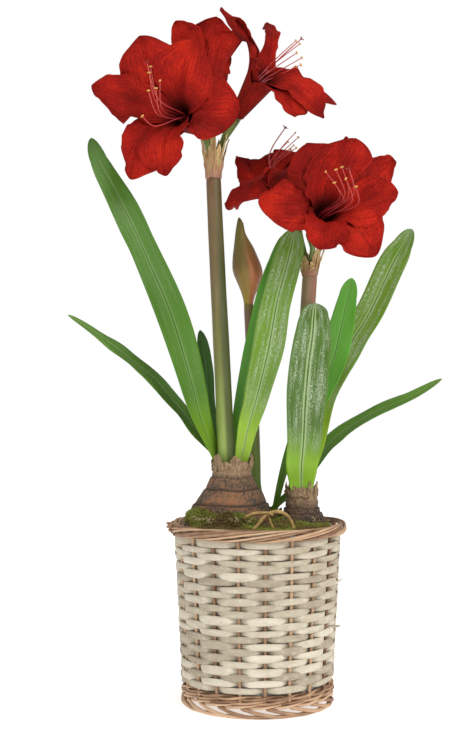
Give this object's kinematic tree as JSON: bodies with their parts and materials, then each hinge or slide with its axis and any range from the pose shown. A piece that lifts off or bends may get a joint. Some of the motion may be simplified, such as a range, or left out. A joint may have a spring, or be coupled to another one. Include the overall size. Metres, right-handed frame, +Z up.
{
  "type": "potted amaryllis",
  "caption": "Red amaryllis plants in bloom with bulbs, strap leaves and a closed bud, planted in moss and soil in a round tapered whitewashed willow basket.",
  "frame": {"origin": "on the basket's axis, at the floor that it stands on", "axes": "+Z up; -Y is the front that the picture shows; +X to its right"},
  "size_m": [0.3798, 0.1778, 0.7002],
  "materials": {
    "white_willow": "whitewashed peeled willow, matte",
    "brown_willow": "thin brown willow rods, matte",
    "liner_film": "thin pale film",
    "soil": "dark crumbly peat",
    "moss": "short green moss, matte",
    "bulb_skin": "papery ringed brown skin, matte",
    "root": "fibrous yellow brown, matte",
    "stalk": "smooth, satin, brown above and green below",
    "bud": "smooth, satin, olive and orange",
    "spathe": "dry papery straw colour",
    "leaf": "waxy green, some with a pale frosted sheen",
    "tepal": "velvety deep scarlet",
    "filament": "thin red with yellow ends",
    "pedicel": "smooth green"
  },
  "bodies": {
    "root": {"basket_base": "brown_willow", "basket_rim": "brown_willow", "basket_stakes": "brown_willow", "basket_wale": "brown_willow", "basket_weave": "white_willow", "bud": "bud", "bulb_large": "bulb_skin", "bulb_offset": "bulb_skin", "bulb_small": "bulb_skin", "flower_back_inner_tepals": "tepal", "flower_back_outer_tepals": "tepal", "flower_back_pedicel": "pedicel", "flower_back_stamens": "filament", "flower_behind_inner_tepals": "tepal", "flower_behind_outer_tepals": "tepal", "flower_behind_pedicel": "pedicel", "flower_behind_stamens": "filament", "flower_front_left_inner_tepals": "tepal", "flower_front_left_outer_tepals": "tepal", "flower_front_left_pedicel": "pedicel", "flower_front_left_stamens": "filament", "flower_front_right_inner_tepals": "tepal", "flower_front_right_outer_tepals": "tepal", "flower_front_right_pedicel": "pedicel", "flower_front_right_stamens": "filament", "flower_left_inner_tepals": "tepal", "flower_left_outer_tepals": "tepal", "flower_left_pedicel": "pedicel", "flower_left_stamens": "filament", "flower_side_inner_tepals": "tepal", "flower_side_outer_tepals": "tepal", "flower_side_pedicel": "pedicel", "flower_side_stamens": "filament", "leaf_front": "leaf", "leaf_low_left": "leaf", "leaf_low_right": "leaf", "leaf_mid_right": "leaf", "leaf_mid_right_back": "leaf", "leaf_plain_right": "leaf", "leaf_short_left": "leaf", "leaf_tall_left": "leaf", "leaf_upper_right": "leaf", "liner": "liner_film", "moss": "moss", "root_arch": "root", "root_flat": "root", "root_short": "root", "soil": "soil", "spathe_short": "spathe", "spathe_tall": "spathe", "stalk_bud": "stalk", "stalk_short": "stalk", "stalk_tall": "stalk"}
  },
  "joints": []
}
